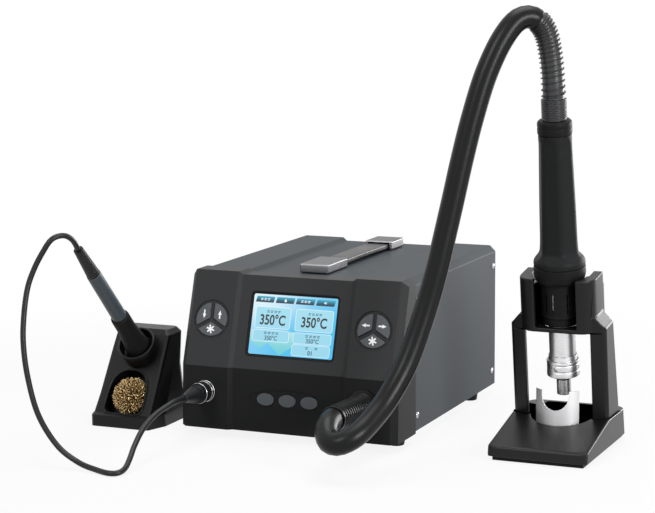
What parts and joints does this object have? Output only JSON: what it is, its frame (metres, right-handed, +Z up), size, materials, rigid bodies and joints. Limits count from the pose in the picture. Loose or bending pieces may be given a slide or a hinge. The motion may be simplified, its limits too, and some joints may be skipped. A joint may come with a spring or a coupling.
{
  "type": "hot air rework station",
  "caption": "Bench rework station: control unit with colour screen and keys, hot air handpiece on a hose in its own stand, and a soldering iron in a holder with brass wool.",
  "frame": {"origin": "on the bench, under the middle of the whole layout without its hose and cable", "axes": "+Z up from the bench, -Y towards the user, +X to the user's right, from the iron's holder to the handpiece's stand"},
  "size_m": [0.4262, 0.3861, 0.346],
  "materials": {
    "front_plastic": "fine matt grain, charcoal",
    "cover_paint": "blue-grey powder coat",
    "zinc_steel": "plain zinc-plated sheet",
    "rear_paint": "dark grey powder coat",
    "screen_glass": "lit colour screen under a clear pane",
    "board_green": "green solder mask",
    "key_grey": "satin grey key caps",
    "strap_rubber": "satin black strap",
    "bright_chrome": "bright plated",
    "foot_rubber": "matt black",
    "white_plastic": "off-white moulding",
    "motor_steel": "drawn steel can",
    "core_steel": "stacked core plates",
    "coil_tape": "copper winding under amber tape",
    "black_plastic": "satin black moulding",
    "hose_rubber": "smooth black hose rubber",
    "tube_steel": "polished stainless steel",
    "ceramic": "white ceramic",
    "spring_steel": "black coated spring wire",
    "shield_steel": "pale satin steel sheet",
    "stand_plastic": "satin black cast stand",
    "brass_wire": "curled brass turnings",
    "sleeve_blue": "blue-grey sleeve",
    "iron_rubber": "black foam and rubber"
  },
  "bodies": {
    "station": {"front_bezel": "front_plastic", "shell_cover": "cover_paint", "base_tray": "zinc_steel", "rear_panel": "rear_paint", "lcd_module": "screen_glass", "display_board": "board_green", "handle_strap": "strap_rubber", "handle_cap_front": "bright_chrome", "handle_cap_rear": "bright_chrome", "foot_front_left": "foot_rubber", "foot_front_right": "foot_rubber", "foot_rear_left": "foot_rubber", "foot_rear_right": "foot_rubber", "blower_housing": "black_plastic", "blower_motor": "motor_steel", "transformer_core": "core_steel", "transformer_coil": "coil_tape", "power_board": "board_green", "mains_inlet": "black_plastic", "switch_frame": "black_plastic", "hose_guard": "hose_rubber", "iron_socket": "black_plastic", "iron_plug": "zinc_steel", "plug_boot": "iron_rubber", "stand_base": "stand_plastic", "stand_frame": "stand_plastic", "stand_foot_plate": "foot_rubber", "heat_shield": "shield_steel", "holder_body": "black_plastic", "holder_funnel": "black_plastic", "brass_wool": "brass_wire", "air_hose": "hose_rubber", "iron_cable": "hose_rubber"},
    "left_down_key_body": {"left_down_key": "key_grey"},
    "left_up_key_body": {"left_up_key": "key_grey"},
    "left_star_key_body": {"left_star_key": "key_grey"},
    "right_back_key_body": {"right_back_key": "key_grey"},
    "right_next_key_body": {"right_next_key": "key_grey"},
    "right_star_key_body": {"right_star_key": "key_grey"},
    "preset_key_1_body": {"preset_key_1": "key_grey"},
    "preset_key_2_body": {"preset_key_2": "key_grey"},
    "preset_key_3_body": {"preset_key_3": "key_grey"},
    "handpiece": {"handpiece_grip": "black_plastic", "rear_ring": "black_plastic", "front_collar": "black_plastic", "vent_sleeve": "black_plastic", "heater_tube": "tube_steel", "heater_core": "ceramic", "nozzle_clamp": "tube_steel", "nozzle": "tube_steel", "spring_cup": "hose_rubber", "hose_spring": "spring_steel", "hose_core": "hose_rubber"},
    "iron": {"iron_grip": "iron_rubber", "iron_sleeve": "sleeve_blue", "iron_boot": "iron_rubber", "iron_tip_barrel": "tube_steel"},
    "impeller": {"blower_impeller": "white_plastic"},
    "rocker": {"switch_rocker": "black_plastic"},
    "ring": {"coupling_ring": "bright_chrome"}
  },
  "joints": [
    {"name": "left_down_key_press", "type": "slide", "parent": "station", "child": "left_down_key_body", "axis": [0, 0.9559, -0.2935], "range_m": [0, 0.0008], "stiffness_N_per_m": 1200},
    {"name": "left_up_key_press", "type": "slide", "parent": "station", "child": "left_up_key_body", "axis": [0, 0.9559, -0.2935], "range_m": [0, 0.0008], "stiffness_N_per_m": 1200},
    {"name": "left_star_key_press", "type": "slide", "parent": "station", "child": "left_star_key_body", "axis": [0, 0.9559, -0.2935], "range_m": [0, 0.0008], "stiffness_N_per_m": 1200},
    {"name": "right_back_key_press", "type": "slide", "parent": "station", "child": "right_back_key_body", "axis": [0, 0.9559, -0.2935], "range_m": [0, 0.0008], "stiffness_N_per_m": 1200},
    {"name": "right_next_key_press", "type": "slide", "parent": "station", "child": "right_next_key_body", "axis": [0, 0.9559, -0.2935], "range_m": [0, 0.0008], "stiffness_N_per_m": 1200},
    {"name": "right_star_key_press", "type": "slide", "parent": "station", "child": "right_star_key_body", "axis": [0, 0.9559, -0.2935], "range_m": [0, 0.0008], "stiffness_N_per_m": 1200},
    {"name": "preset_key_1_press", "type": "slide", "parent": "station", "child": "preset_key_1_body", "axis": [0, 0.9992, -0.0396], "range_m": [0, 0.0008], "stiffness_N_per_m": 1200},
    {"name": "preset_key_2_press", "type": "slide", "parent": "station", "child": "preset_key_2_body", "axis": [0, 0.9992, -0.0396], "range_m": [0, 0.0008], "stiffness_N_per_m": 1200},
    {"name": "preset_key_3_press", "type": "slide", "parent": "station", "child": "preset_key_3_body", "axis": [0, 0.9992, -0.0396], "range_m": [0, 0.0008], "stiffness_N_per_m": 1200},
    {"name": "rocker_tilt", "type": "hinge", "parent": "station", "child": "rocker", "pos_m": [-0.0151, 0.1538, 0.042], "axis": [1, 0, 0], "range_deg": [-16, 0]},
    {"name": "impeller_spin", "type": "hinge", "parent": "station", "child": "impeller", "pos_m": [0.0054, 0.0216, 0.037], "axis": [0, 0, 1], "continuous": true},
    {"name": "ring_turn", "type": "hinge", "parent": "station", "child": "ring", "pos_m": [-0.1021, -0.0944, 0.0377], "axis": [0, -0.9992, 0.0396], "range_deg": [0, 90]},
    {"name": "handpiece_lift", "type": "slide", "parent": "station", "child": "handpiece", "axis": [0, -0.1535, 0.9881], "range_m": [0, 0.12], "deforming": ["air_hose"]},
    {"name": "iron_draw", "type": "slide", "parent": "station", "child": "iron", "axis": [0, -0.7034, 0.7108], "range_m": [0, 0.08], "deforming": ["iron_cable"]}
  ]
}
